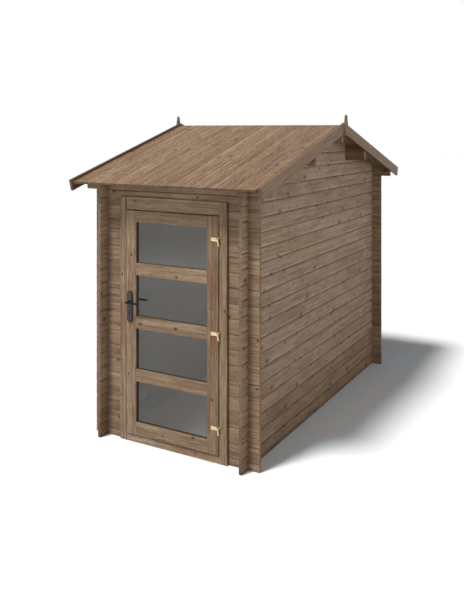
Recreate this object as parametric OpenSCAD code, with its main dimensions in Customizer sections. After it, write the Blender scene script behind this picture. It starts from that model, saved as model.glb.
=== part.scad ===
// Log-built wooden tool shed with a glazed door.
// Millimetres. X is the width, Y the depth with the door at -Y, Z is up from the ground.
// The origin is on the ground at the middle of the plan.

/* [Walls] */
// Width between the outer faces of the gable walls
body_w = 1327; // [1250:1:2400]
// Depth between the outer faces of the front and back walls
body_d = 2815; // [2000:1:4200]
// Height covered by one log
log_h = 114; // [108:1:140]
// Log thickness
wall_t = 26; // [21:1:34]
// Whole logs in the front wall between the half log and the plate
front_logs = 17; // [16:1:18]
// Length of the log ends past the crossing wall
end_out = 94.5; // [60:0.5:120]
// Depth of the V joint between logs
groove_d = 5; // [2:0.5:6]
// Height of the V joint at the wall face
groove_h = 9; // [4:0.5:12]
// Clearance between the roof boards and the wood they lie on
seat_gap = 0.05; // [0.02:0.01:0.3]

/* [Roof] */
// Roof pitch in degrees
roof_pitch = 16.26; // [12:0.01:21]
// Height of the plate log at the outer face
plate_face_h = 101; // [98:0.5:103]
// Length of plates and purlins past the gable walls
plate_out = 194; // [120:1:300]
// Roof board thickness
deck_t = 18; // [15:0.5:28]
// Roof overhang past the front and back walls, level
deck_out = 169.5; // [120:0.5:260]
// Barge board overhang past the front and back walls, level
barge_out = 202.5; // [150:0.5:300]
// Barge board width
barge_w = 92; // [80:1:120]
// Barge board thickness
barge_t = 20; // [16:1:28]
// Height of the barge boards above the roof boards
barge_up = 22; // [5:1:35]
// Purlin thickness
purlin_t = 38; // [34:1:60]
// Purlin height
purlin_h = 144; // [110:1:160]
// Level distance from the ridge to the side purlins
purlin_y = 598; // [400:1:900]
// Finial width
finial_w = 50; // [40:1:70]
// Finial thickness
finial_t = 22; // [16:1:28]
// Finial height above the barge boards
finial_up = 67; // [40:1:100]
// Finial length below the top of the barge boards
finial_down = 116; // [100:1:140]

/* [Door frame] */
// Middle of the doorway across the front
door_x = 1; // [-10:1:10]
// Frame width over its outer edges
frame_w = 992; // [900:1:1010]
// Wall left showing between the frame and the plate log
head_drop = 47; // [40:1:60]
// Jamb face width
jamb_w = 65; // [60:1:80]
// Head face height
head_h = 100; // [70:1:110]
// Threshold height
threshold_h = 57; // [40:1:65]
// Frame stand-out in front of the wall
frame_out = 22; // [15:1:28]
// Frame stand-out behind the wall
frame_in = 14; // [10:1:30]
// Overlap of the frame face on the wall
frame_lap = 20; // [10:1:30]
// Width of the door stop
stop_w = 12; // [10:0.5:14]

/* [Door leaf] */
// Gap round the leaf
door_gap = 6.5; // [6.5:0.5:8]
// Gap between the leaf and its stop
stop_gap = 5.5; // [5:0.5:7]
// Leaf thickness
leaf_t = 40; // [36:1:44]
// Leaf stand-out in front of the wall
leaf_out = 32; // [30:1:34]
// Stile width
stile_w = 94; // [90:1:110]
// Top rail height
rail_top_h = 90; // [80:1:120]
// Middle rail height
rail_mid_h = 97; // [80:1:120]
// Bottom rail height
rail_low_h = 101.5; // [90:0.5:140]
// Glass thickness
glass_t = 4; // [4:0.5:6]
// Glass depth behind the leaf face
glass_in = 20; // [14:0.5:22]
// Glass edge let into the wood
glass_lap = 8; // [6:0.5:10]

/* [Ironmongery] */
// Hinge plate width from the pin
hinge_w = 63; // [55:1:75]
// Hinge plate height
hinge_h = 34; // [30:1:40]
// Hinge plate thickness
hinge_t = 2.5; // [2:0.5:3]
// Hinge barrel radius
barrel_r = 6.5; // [6:0.25:7]
// Hinge pin radius
pin_r = 3.5; // [3:0.25:4]
// Height of the upper hinge below the leaf top
hinge_top = 170; // [150:1:260]
// Height of the lower hinge above the leaf bottom
hinge_low = 204; // [150:1:260]
// Running clearance of the hinge pins and the lever spindle
run_gap = 0.08; // [0.02:0.01:0.1]
// End clearance of the hinge barrels
end_gap = 0.5; // [0.2:0.1:0.8]
// Lever spindle height above the leaf bottom
lever_up = 1053; // [1000:1:1100]
// Lever spindle distance from the edge of the leaf
lever_in = 38.5; // [36:0.5:45]
// Lock plate width
plate_w = 51; // [40:1:54]
// Lock plate length
plate_l = 252; // [230:1:270]
// Lock plate thickness
plate_t = 9; // [6:0.5:10]
// Lock plate length above the spindle
plate_up = 86; // [70:1:100]
// Keyhole distance below the spindle
key_down = 76; // [70:1:80]
// Spindle radius
spindle_r = 8; // [7:0.5:9]
// Lever length from the spindle
lever_l = 95; // [85:1:110]
// Lever bar radius
lever_r = 7; // [6:0.5:8]
// Lever stand-off from the leaf face
lever_off = 55; // [45:1:60]

/* [Hidden] */
$fn = 96;
xo = body_w / 2;
xi = xo - wall_t;
yo = body_d / 2;
yi = yo - wall_t;
plate_z = log_h / 2 + front_logs * log_h;
header_z = plate_z - log_h;
side_top = (front_logs + 1) * log_h;
slope = tan(roof_pitch);
eave_z = plate_z + plate_face_h;
ridge_z = eave_z + yo * slope;
roof_x = xo + plate_out;
deck_y = yo + deck_out;
deck_top = ridge_z + deck_t / cos(roof_pitch);
barge_y = yo + barge_out;
barge_top = deck_top + barge_up;
frame_h = plate_z - head_drop;
frame_x0 = door_x - frame_w / 2;
frame_x1 = door_x + frame_w / 2;
open_x0 = frame_x0 + jamb_w;
open_x1 = frame_x1 - jamb_w;
head_z = frame_h - head_h;
wall_face = -yo;
frame_front = wall_face - frame_out;
frame_back = -yi + frame_in;
leaf_front = wall_face - leaf_out;
leaf_back = leaf_front + leaf_t;
stop_front = leaf_back + stop_gap;
leaf_x0 = open_x0 + door_gap;
leaf_x1 = open_x1 - door_gap;
leaf_z0 = threshold_h + door_gap;
leaf_z1 = head_z - door_gap;
light_x0 = leaf_x0 + stile_w;
light_x1 = leaf_x1 - stile_w;
panes = 4;
pane_h = (leaf_z1 - leaf_z0 - rail_top_h - rail_low_h - (panes - 1) * rail_mid_h) / panes;
pane_pitch = pane_h + rail_mid_h;
pane_z0 = leaf_z0 + rail_low_h;
glass_y = leaf_front + glass_in;
hinge_x = open_x1 - door_gap / 2;
hinge_y = leaf_front - barrel_r;
hinge_z0 = leaf_z0 + hinge_low;
hinge_z2 = leaf_z1 - hinge_top;
hinge_zs = [hinge_z0, (hinge_z0 + hinge_z2) / 2, hinge_z2];
ear_h = 9;
ear_x0 = 4;
ear_x1 = 13;
bracket_low = 53;
lever_x = leaf_x0 + lever_in;
lever_z = leaf_z0 + lever_up;
lever_tail = 11;

// Underside of the roof boards at depth y, and the top of the wood that carries them
function under(y) = ridge_z - abs(y) * slope;
function seat(y) = under(y) - seat_gap;

// Extrude a Y-Z shape from x0 to x1
module along_x(x0, x1) {
    translate([x0, 0, 0])
        rotate([90, 0, 90])
            linear_extrude(x1 - x0)
                children();
}

// Extrude an X-Z shape from y0 to y1
module along_y(y0, y1) {
    translate([0, y1, 0])
        rotate([90, 0, 0])
            linear_extrude(y1 - y0)
                children();
}

module block(x0, x1, y0, y1, z0, z1) {
    translate([x0, y0, z0])
        cube([x1 - x0, y1 - y0, z1 - z0]);
}

// Upright section of a stack of logs, with a V joint on both faces between logs
module log_section(first, top) {
    difference() {
        square([wall_t, top]);
        for (z = [first : log_h : top + 1]) {
            v_joint(z);
            translate([wall_t, 0])
                mirror([1, 0])
                    v_joint(z);
        }
    }
}

module v_joint(z) {
    half = groove_h / 2 * (1 + 1 / groove_d);
    polygon([[-1, z - half], [groove_d, z], [-1, z + half]]);
}

// Front wall outline: logs between the gable walls, ends past them and the necks that join them
module front_outline() {
    translate([-xi, 0])
        square([2 * xi, plate_z]);
    for (side = [0, 1])
        mirror([side, 0]) {
            translate([xo, 0])
                square([end_out, plate_z]);
            translate([xi - 1, 0])
                square([wall_t + 2, log_h / 4]);
            for (i = [1 : front_logs])
                translate([xi - 1, (i - 0.25) * log_h])
                    square([wall_t + 2, log_h / 2]);
        }
}

module front_logs_within() {
    intersection() {
        along_x(-xo - end_out, xo + end_out)
            translate([-yo, 0])
                log_section(log_h / 2, plate_z);
        along_y(-yo - 1, -yi + 1)
            intersection() {
                front_outline();
                children();
            }
    }
}

module front_wall_left() {
    color("#8c735a")
        front_logs_within()
            translate([-xo - end_out, 0])
                square([xo + end_out + frame_x0 + frame_lap, header_z]);
}

module front_wall_right() {
    color("#8c735a")
        front_logs_within()
            translate([frame_x1 - frame_lap, 0])
                square([xo + end_out - frame_x1 + frame_lap, header_z]);
}

module front_wall_top() {
    color("#8c735a")
        front_logs_within()
            difference() {
                translate([-xo - end_out, header_z])
                    square([2 * (xo + end_out), log_h]);
                translate([frame_x0 + frame_lap, header_z - 1])
                    square([frame_w - 2 * frame_lap, frame_h - frame_lap - header_z + 1]);
            }
}

module back_wall() {
    color("#8c735a")
        rotate([0, 0, 180])
            front_logs_within()
                front_outline();
}

module plate_log() {
    difference() {
        along_x(-roof_x, roof_x)
            intersection() {
                translate([-yo, 0])
                    log_section(log_h / 2, plate_z + log_h);
                polygon([[-yo, plate_z], [-yi, plate_z], [-yi, seat(yi)], [-yo, seat(yo)]]);
            }
        for (side = [0, 1])
            mirror([side, 0, 0])
                block(xi, xo, -yo - 1, -yi + 1, plate_z - 1, plate_z + log_h / 4);
    }
}

module front_plate() {
    color("#8c735a")
        plate_log();
}

module back_plate() {
    color("#8c735a")
        rotate([0, 0, 180])
            plate_log();
}

// Gable wall outline in Y and Z, with slots for the three purlins
module gable_outline() {
    difference() {
        polygon([[-yi, 0], [yi, 0], [yi, seat(yi)], [0, seat(0)], [-yi, seat(yi)]]);
        for (y = [-purlin_y, 0, purlin_y])
            translate([y - purlin_t / 2, under(y) - purlin_h])
                square([purlin_t, 2 * purlin_h]);
    }
    for (side = [0, 1])
        mirror([side, 0]) {
            translate([yo, 0])
                square([end_out, side_top]);
            for (i = [0 : front_logs])
                translate([yi - 1, (i + 0.25) * log_h])
                    square([wall_t + 2, log_h / 2]);
        }
}

module gable_wall() {
    intersection() {
        along_y(-yo - end_out, yo + end_out)
            translate([xi, 0])
                log_section(log_h, ridge_z + log_h);
        along_x(xi - 1, xo + 1)
            gable_outline();
    }
}

module right_wall() {
    color("#7d6b5c")
        gable_wall();
}

module left_wall() {
    color("#7d6b5c")
        rotate([0, 0, 180])
            gable_wall();
}

module purlin(y) {
    low = under(y) - purlin_h;
    y0 = y - purlin_t / 2;
    y1 = y + purlin_t / 2;
    along_x(-roof_x, roof_x)
        polygon([[y0, low], [y1, low], [y1, seat(y1)], [y, seat(y)], [y0, seat(y0)]]);
}

module front_purlin() {
    color("#7d6b5c")
        purlin(-purlin_y);
}

module ridge_purlin() {
    color("#7d6b5c")
        purlin(0);
}

module rear_purlin() {
    color("#7d6b5c")
        purlin(purlin_y);
}

module roof_slab() {
    along_x(-roof_x, roof_x)
        polygon([[0, ridge_z], [0, deck_top],
            [-deck_y - deck_t * sin(roof_pitch), under(deck_y) + deck_t * cos(roof_pitch)],
            [-deck_y, under(deck_y)]]);
}

module roof_front() {
    color("#9b8269")
        roof_slab();
}

module roof_rear() {
    color("#9b8269")
        rotate([0, 0, 180])
            roof_slab();
}

// Barge board of the front slope at the right gable
module barge() {
    corner_z = barge_top - barge_y * slope;
    along_x(roof_x, roof_x + barge_t)
        polygon([[0, barge_top], [-barge_y, corner_z],
            [-barge_y + barge_w * sin(roof_pitch), corner_z - barge_w * cos(roof_pitch)],
            [0, barge_top - barge_w / cos(roof_pitch)]]);
}

module barge_right_front() {
    color("#8c735a")
        barge();
}

module barge_right_rear() {
    color("#8c735a")
        mirror([0, 1, 0])
            barge();
}

module barge_left_front() {
    color("#8c735a")
        mirror([1, 0, 0])
            barge();
}

module barge_left_rear() {
    color("#8c735a")
        rotate([0, 0, 180])
            barge();
}

module finial() {
    shoulder = finial_w / 2;
    tip = finial_w / 10;
    along_x(roof_x + barge_t, roof_x + barge_t + finial_t)
        polygon([[-shoulder, barge_top - finial_down], [shoulder, barge_top - finial_down],
            [shoulder, barge_top - barge_up], [tip, barge_top + finial_up],
            [-tip, barge_top + finial_up], [-shoulder, barge_top - barge_up]]);
}

module finial_right() {
    color("#8c735a")
        finial();
}

module finial_left() {
    color("#8c735a")
        mirror([1, 0, 0])
            finial();
}

module door_jamb_left() {
    color("#947a5f") {
        block(frame_x0, open_x0, frame_front, wall_face, 0, frame_h);
        block(frame_x0 + frame_lap, open_x0, frame_front, frame_back, 0, frame_h - frame_lap);
        block(open_x0 - 1, open_x0 + stop_w, stop_front, frame_back, threshold_h, head_z);
    }
}

module door_jamb_right() {
    color("#947a5f") {
        block(open_x1, frame_x1, frame_front, wall_face, 0, frame_h);
        block(open_x1, frame_x1 - frame_lap, frame_front, frame_back, 0, frame_h - frame_lap);
        block(open_x1 - stop_w, open_x1 + 1, stop_front, frame_back, threshold_h, head_z);
    }
}

module door_head() {
    color("#947a5f") {
        block(open_x0, open_x1, frame_front, wall_face, head_z, frame_h);
        block(open_x0, open_x1, frame_front, frame_back, head_z, frame_h - frame_lap);
        block(open_x0 + stop_w, open_x1 - stop_w, stop_front, frame_back,
            head_z - stop_w, head_z + 1);
    }
}

module door_threshold() {
    color("#947a5f") {
        block(open_x0, open_x1, frame_front, frame_back, 0, threshold_h);
        block(open_x0 + stop_w, open_x1 - stop_w, stop_front, frame_back,
            threshold_h - 1, threshold_h + stop_w);
    }
}

// Glass panes, let into the stiles and rails all round
module glass_blocks() {
    for (i = [0 : panes - 1])
        block(light_x0 - glass_lap, light_x1 + glass_lap, glass_y, glass_y + glass_t,
            pane_z0 + i * pane_pitch - glass_lap, pane_z0 + i * pane_pitch + pane_h + glass_lap);
}

module door_stile_lock() {
    color("#987d62")
        difference() {
            block(leaf_x0, light_x0, leaf_front, leaf_back, leaf_z0, leaf_z1);
            glass_blocks();
            translate([lever_x, 0, lever_z])
                along_y(leaf_front - 1, leaf_back + 1)
                    circle(spindle_r + 3);
        }
}

module door_stile_hinge() {
    color("#987d62")
        difference() {
            block(light_x1, leaf_x1, leaf_front, leaf_back, leaf_z0, leaf_z1);
            glass_blocks();
        }
}

module rail(z0, z1) {
    difference() {
        block(light_x0, light_x1, leaf_front, leaf_back, z0, z1);
        glass_blocks();
    }
}

module door_rail_bottom() {
    color("#987d62")
        rail(leaf_z0, pane_z0);
}

module door_rails_middle() {
    color("#987d62")
        for (i = [1 : panes - 1])
            rail(pane_z0 + i * pane_pitch - rail_mid_h, pane_z0 + i * pane_pitch);
}

module door_rail_top() {
    color("#987d62")
        rail(leaf_z1 - rail_top_h, leaf_z1);
}

module door_glass() {
    color("#8f9390")
        glass_blocks();
}

// Hinge part on the leaf: plate and barrel
module hinge_plates() {
    color("#c9b06a")
        for (z = hinge_zs)
            translate([hinge_x, hinge_y, z - hinge_h / 2])
                difference() {
                    union() {
                        cylinder(r = barrel_r, h = hinge_h);
                        block(-hinge_w, 0, barrel_r - hinge_t, barrel_r, 0, hinge_h);
                    }
                    translate([0, 0, -1])
                        cylinder(r = pin_r + run_gap, h = hinge_h + 2);
                }
}

// Hinge part on the jamb: pin, lower barrel and the two feet that stand on the jamb
module hinge_brackets() {
    top = hinge_h / 2 + end_gap;
    reach = frame_front - hinge_y;
    color("#c9b06a")
        for (z = hinge_zs)
            translate([hinge_x, hinge_y, z]) {
                translate([0, 0, -bracket_low])
                    cylinder(r = pin_r, h = bracket_low + top + ear_h);
                translate([0, 0, -bracket_low])
                    cylinder(r = barrel_r, h = bracket_low - top);
                translate([0, 0, top])
                    cylinder(r = barrel_r, h = ear_h);
                for (z0 = [-bracket_low, top]) {
                    block(0, ear_x1, -barrel_r, 0, z0, z0 + ear_h);
                    block(ear_x0, ear_x1, -barrel_r, reach, z0, z0 + ear_h);
                }
            }
}

// Round-ended plate in X and Z about the spindle
module lock_plate(y0, y1) {
    r = plate_w / 2;
    difference() {
        translate([lever_x, 0, lever_z])
            along_y(y0, y1)
                difference() {
                    union() {
                        translate([-r, plate_up - plate_l + r])
                            square([plate_w, plate_l - 2 * r]);
                        translate([0, plate_up - r])
                            circle(r);
                        translate([0, plate_up - plate_l + r])
                            circle(r);
                    }
                    circle(spindle_r + run_gap);
                    translate([0, -key_down])
                        circle(8.5);
                    translate([-5, -key_down - 24])
                        square([10, 24]);
                }
    }
}

module lock_plate_outer() {
    color("#3c3c41")
        lock_plate(leaf_front - plate_t, leaf_front);
}

module lock_plate_inner() {
    color("#3c3c41")
        lock_plate(leaf_back, leaf_back + plate_t);
}

// Two levers on one spindle
module lever_handle() {
    color("#28282a")
        translate([lever_x, 0, lever_z]) {
            along_y(leaf_front - lever_off, leaf_back + lever_off)
                circle(spindle_r);
            for (y = [leaf_front - lever_off, leaf_back + lever_off])
                translate([0, y, 0]) {
                    translate([-lever_tail, 0, 0])
                        rotate([0, 90, 0])
                            cylinder(r = lever_r, h = lever_tail + lever_l);
                    translate([lever_l, 0, 0])
                        sphere(r = lever_r);
                }
        }
}

front_wall_left();
front_wall_right();
front_wall_top();
front_plate();
back_wall();
back_plate();
left_wall();
right_wall();
front_purlin();
ridge_purlin();
rear_purlin();
roof_front();
roof_rear();
barge_left_front();
barge_left_rear();
barge_right_front();
barge_right_rear();
finial_left();
finial_right();
door_jamb_left();
door_jamb_right();
door_head();
door_threshold();
hinge_brackets();
door_stile_lock();
door_stile_hinge();
door_rail_top();
door_rails_middle();
door_rail_bottom();
door_glass();
hinge_plates();
lock_plate_outer();
lock_plate_inner();
lever_handle();
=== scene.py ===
"""Looks of a log-built tool shed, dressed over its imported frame. Lengths are metres, Z is up."""

from __future__ import annotations

import logging
import math
from dataclasses import dataclass, replace
from enum import Enum

import bmesh
import bpy
from mathutils import Matrix, Vector


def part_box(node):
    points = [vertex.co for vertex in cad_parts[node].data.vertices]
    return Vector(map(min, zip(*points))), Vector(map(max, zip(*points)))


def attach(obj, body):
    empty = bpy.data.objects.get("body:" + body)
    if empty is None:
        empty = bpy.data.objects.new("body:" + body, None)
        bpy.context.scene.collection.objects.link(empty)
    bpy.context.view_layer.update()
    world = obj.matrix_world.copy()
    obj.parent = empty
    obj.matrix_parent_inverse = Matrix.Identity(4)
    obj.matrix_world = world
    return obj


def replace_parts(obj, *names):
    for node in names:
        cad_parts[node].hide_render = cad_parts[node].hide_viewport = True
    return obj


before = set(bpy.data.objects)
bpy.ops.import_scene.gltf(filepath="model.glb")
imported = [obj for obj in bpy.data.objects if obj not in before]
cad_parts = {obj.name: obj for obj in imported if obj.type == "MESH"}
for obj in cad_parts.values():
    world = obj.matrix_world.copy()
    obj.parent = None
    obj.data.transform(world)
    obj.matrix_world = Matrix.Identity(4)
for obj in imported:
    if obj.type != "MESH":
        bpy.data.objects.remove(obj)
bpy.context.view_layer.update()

Colour = tuple[float, float, float]
Point = tuple[float, float, float]
Socket = bpy.types.NodeSocket
Outputs = bpy.types.NodeOutputs
Shape = bmesh.types.BMesh
Vert = bmesh.types.BMVert
Edge = bmesh.types.BMEdge
Face = bmesh.types.BMFace

log = logging.getLogger("shed")

ROOF_PITCH = math.radians(16.26)
QUARTER_TURN = math.radians(90.0)
FLAT_ANGLE = math.radians(0.5)
OUTER_ANGLE = math.radians(28)
BOARD_ANGLE = math.radians(40)
LOG_COURSE = 0.114
WALL_SLACK = 0.002
WHITE = (1.0, 1.0, 1.0)

# How often each mark in the wood repeats over a metre: along, across and through the board.
STREAKS = (1.6, 42.0, 42.0)
FLECKS = (11.0, 75.0, 75.0)
SPECKLES = (75.0, 130.0, 130.0)
FIBRES = (12.0, 420.0, 420.0)
PATCHES = (2.4, 14.0, 14.0)
RINGS = 105.0


class Grain(Enum):
    """Which way fibres run: the object axes that give along, across and through, and a tilt."""

    ALONG_X = ("X", "Z", "Y", 0.0)
    ALONG_Y = ("Y", "Z", "X", 0.0)
    ALONG_Z = ("Z", "X", "Y", 0.0)
    UP_FRONT_ROOF = ("Y", "X", "Z", -ROOF_PITCH)
    UP_REAR_ROOF = ("Y", "X", "Z", ROOF_PITCH)
    ON_FRONT_RAKE = ("Y", "Z", "X", -ROOF_PITCH)
    ON_REAR_RAKE = ("Y", "Z", "X", ROOF_PITCH)


class Slot(Enum):
    """The record's material slots."""

    WALL = "wall_wood"
    ROOF = "roof_wood"
    TRIM = "trim_wood"
    DOOR = "door_wood"
    GLASS = "pane_glass"
    BRASS = "hinge_brass"
    LOCK = "lock_metal"


class Tree:
    """A node tree being wired."""

    def __init__(self, tree: bpy.types.NodeTree) -> None:
        """Keeps the tree and empties it."""
        self.tree = tree
        tree.nodes.clear()

    def node(self, kind: str, **settings: object) -> bpy.types.Node:
        """Adds a node.

        Args:
            kind: the node's type name, without its "ShaderNode" start.
            settings: properties set on the node.

        Returns:
            The new node.
        """
        made = self.tree.nodes.new(kind if kind.startswith("Node") else "ShaderNode" + kind)
        for key, value in settings.items():
            setattr(made, key, value)
        return made

    def feed(self, socket: Socket, value: object) -> None:
        """Links a socket or sets a constant on an input.

        Args:
            socket: the input.
            value: an output to link, a number, or a colour or vector.
        """
        if isinstance(value, Socket):
            self.tree.links.new(value, socket)
        elif socket.type == "RGBA" and len(value) == 3:
            socket.default_value = (*value, 1.0)
        else:
            socket.default_value = value

    def fill(self, node: bpy.types.Node, *values: object, **named: object) -> bpy.types.Node:
        """Feeds a node's inputs in order, by name, or both.

        Args:
            node: the node.
            values: its first inputs, in order.
            named: its other inputs, with an underscore for each space in a name.

        Returns:
            The node.
        """
        for socket, value in zip(node.inputs, values):
            self.feed(socket, value)
        for key, value in named.items():
            self.feed(node.inputs[key.replace("_", " ")], value)
        return node

    def math(self, operation: str, *values: object, clamp: bool = False) -> Socket:
        """Adds a Math node.

        Args:
            operation: the sum it does.
            values: one to three inputs.
            clamp: whether the result is kept from 0 to 1.

        Returns:
            The node's result.
        """
        made = self.node("Math", operation=operation, use_clamp=clamp)
        return self.fill(made, *values).outputs[0]

    def plus(self, first: object, second: object) -> Socket:
        """Adds two numbers."""
        return self.math("ADD", first, second)

    def minus(self, first: object, second: object) -> Socket:
        """Takes the second number from the first."""
        return self.math("SUBTRACT", first, second)

    def scaled(self, value: object, factor: object, offset: object) -> Socket:
        """Multiplies a number by a factor and adds an offset."""
        return self.math("MULTIPLY_ADD", value, factor, offset)

    def times(self, first: object, *others: object) -> Socket:
        """Multiplies numbers.

        Args:
            first: the first number.
            others: the rest, in order.

        Returns:
            The product.
        """
        for other in others:
            first = self.math("MULTIPLY", first, other)
        return first

    def away(self, value: object, place: float) -> Socket:
        """Gives how far a number is from a place, to either side."""
        return self.math("ABSOLUTE", self.minus(value, place))

    def toned(self, shade: object, mask: object, tone: float) -> Socket:
        """Multiplies a shade by a tone where the mask is 1."""
        return self.times(shade, self.scaled(mask, tone - 1.0, 1.0))

    def vector(self, operation: str, *values: object) -> Socket:
        """Adds a Vector Math node.

        Args:
            operation: the sum it does.
            values: its inputs.

        Returns:
            The node's vector, or its number for a length or dot product.
        """
        made = self.fill(self.node("VectorMath", operation=operation), *values)
        return made.outputs["Value" if operation in ("LENGTH", "DOT_PRODUCT") else "Vector"]

    def dimmed(self, colour: object, level: object) -> Socket:
        """Multiplies all three parts of a colour by a number."""
        return self.vector("MULTIPLY", colour, self.join(level, level, level))

    def ramp(
        self, value: object, low: float, high: float, start: float = 0.0, end: float = 1.0
    ) -> Socket:
        """Adds a smooth step.

        Args:
            value: the number read.
            low: where the step starts.
            high: where it ends.
            start: the result at and before low.
            end: the result at and past high.

        Returns:
            The stepped number.
        """
        made = self.node("MapRange", interpolation_type="SMOOTHSTEP")
        return self.fill(made, value, low, high, start, end).outputs[0]

    def mix(self, factor: object, first: object, second: object) -> Socket:
        """Adds a colour mix.

        Args:
            factor: how much of the second colour shows.
            first: the colour at 0.
            second: the colour at 1.

        Returns:
            The mixed colour.
        """
        made = self.node("Mix", data_type="RGBA")
        for number, value in ((0, factor), (6, first), (7, second)):
            self.feed(made.inputs[number], value)
        return made.outputs[2]

    def noise(self, vector: object, scale: object, detail: float = 2.0, rough: float = 0.5) -> Socket:
        """Adds a noise texture.

        Args:
            vector: where it is read.
            scale: how fine it is, as one number or as one for each axis.
            detail: how many finer layers it has.
            rough: how strong those are.

        Returns:
            The noise, about 0.5 on average.
        """
        if isinstance(scale, tuple):
            vector, scale = self.vector("MULTIPLY", vector, scale), 1.0
        made = self.node("TexNoise", noise_dimensions="3D")
        self.fill(made, Vector=vector, Scale=scale, Detail=detail, Roughness=rough)
        return made.outputs["Fac"]

    def chance(self, seed: object) -> Outputs:
        """Draws a number and a colour that depend on a seed alone."""
        return self.fill(self.node("TexWhiteNoise", noise_dimensions="1D"), W=seed).outputs

    def split(self, vector: object) -> tuple[Socket, Socket, Socket]:
        """Splits a vector into its three numbers."""
        return tuple(self.fill(self.node("SeparateXYZ"), vector).outputs)

    def join(self, x: object, y: object, z: object) -> Socket:
        """Joins three numbers into a vector."""
        return self.fill(self.node("CombineXYZ"), x, y, z).outputs[0]

    def bumped(self, height: object, strength: float, distance: float) -> Socket:
        """Adds a bump.

        Args:
            height: the relief.
            strength: how much of it counts.
            distance: how high it is.

        Returns:
            The surface's bumped normal.
        """
        bump = self.fill(self.node("Bump"), Height=height, Strength=strength, Distance=distance)
        return bump.outputs["Normal"]

    def seen(self) -> Socket:
        """Tells rays from the eye from those of the light.

        Returns:
            1 for a ray from the eye, whether straight, mirrored or through glass.
        """
        path = self.node("LightPath").outputs
        eye = self.plus(path["Is Camera Ray"], path["Is Glossy Ray"])
        return self.math("ADD", eye, path["Is Transmission Ray"], clamp=True)


class Group(Tree):
    """A shared node group with named inputs and outputs."""

    def __init__(self, name: str, inputs: dict[str, object], outputs: dict[str, str]) -> None:
        """Makes the group and its sockets.

        Args:
            name: the group's name.
            inputs: each input's name and its starting value.
            outputs: each output's name and kind of socket.
        """
        super().__init__(bpy.data.node_groups.new(name, "ShaderNodeTree"))
        new = self.tree.interface.new_socket
        for key, value in inputs.items():
            kind = "Float" if isinstance(value, float) else "Color" if len(value) == 4 else "Vector"
            new(key, in_out="INPUT", socket_type="NodeSocket" + kind).default_value = value
        for key, kind in outputs.items():
            new(key, in_out="OUTPUT", socket_type="NodeSocket" + kind)
        self.given = self.node("NodeGroupInput").outputs
        self.result = self.node("NodeGroupOutput")

    def place(self, tree: Tree, **values: object) -> Outputs:
        """Places the group in a tree.

        Args:
            tree: where it goes.
            values: its inputs, with an underscore for each space in a name.

        Returns:
            The group node's outputs.
        """
        return tree.fill(tree.node("Group", node_tree=self.tree), **values).outputs


def courses_group() -> Group:
    """Cuts a surface into boards.

    Returns:
        The group: it gives each board's own coordinates and number, and the way to its two joints.
    """
    g = Group(
        "courses",
        {"Vector": (0.0, 0.0, 0.0), "Course": 0.1, "Start": 0.0, "Seed": 0.0},
        {"Vector": "Vector", "Board": "Float", "Over Joint": "Float", "Under Joint": "Float"},
    )
    course = g.given["Course"]
    along, across, through = g.split(g.given["Vector"])
    place = g.math("DIVIDE", g.minus(across, g.given["Start"]), course)
    number = g.math("FLOOR", place)
    part = g.minus(place, number)
    g.fill(
        g.result,
        Vector=g.join(along, g.times(g.minus(part, 0.5), course), through),
        Board=g.plus(g.times(number, 1.37), g.given["Seed"]),
        Over_Joint=g.times(part, course),
        Under_Joint=g.times(g.minus(1.0, part), course),
    )
    return g


def knots_group() -> Group:
    """Sets knots into a board.

    Returns:
        The group: it gives a dark core, the ring round it and how far the fibres are pushed aside.
    """
    g = Group(
        "knots",
        {"Vector": (0.0, 0.0, 0.0), "Spacing": 0.4, "Width": 0.114, "Size": 0.012, "Amount": 0.5},
        {"Core": "Float", "Ring": "Float", "Push": "Float"},
    )
    cell = g.join(g.given["Spacing"], g.given["Width"], 1.0)
    scaled = g.vector("DIVIDE", g.given["Vector"], cell)
    spot = g.node("TexVoronoi", voronoi_dimensions="2D", feature="F1")
    g.fill(spot, Vector=scaled, Scale=1.0, Randomness=0.85)
    offset = g.vector("MULTIPLY", g.vector("SUBTRACT", scaled, spot.outputs["Position"]), cell)
    along, across, _ = g.split(offset)
    chance, grow, _ = g.split(spot.outputs["Color"])
    there = g.math("LESS_THAN", chance, g.given["Amount"])
    radius = g.times(g.given["Size"], g.scaled(grow, 1.1, 0.45))
    wobble = g.times(g.minus(g.noise(g.given["Vector"], 70.0), 0.5), 0.006)
    reach = g.plus(g.vector("LENGTH", g.join(g.times(along, 0.7), across, 0.0)), wobble)
    share = g.math("DIVIDE", reach, radius)
    band = g.times(g.ramp(share, 0.7, 1.0), g.ramp(share, 1.0, 1.9, 1.0, 0.0))
    pull = g.times(there, g.ramp(share, 0.4, 3.2, 1.0, 0.0))
    g.fill(
        g.result,
        Core=g.times(there, g.ramp(share, 0.55, 1.05, 1.0, 0.0)),
        Ring=g.times(there, band),
        Push=g.times(across, pull, -0.8),
    )
    return g


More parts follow.
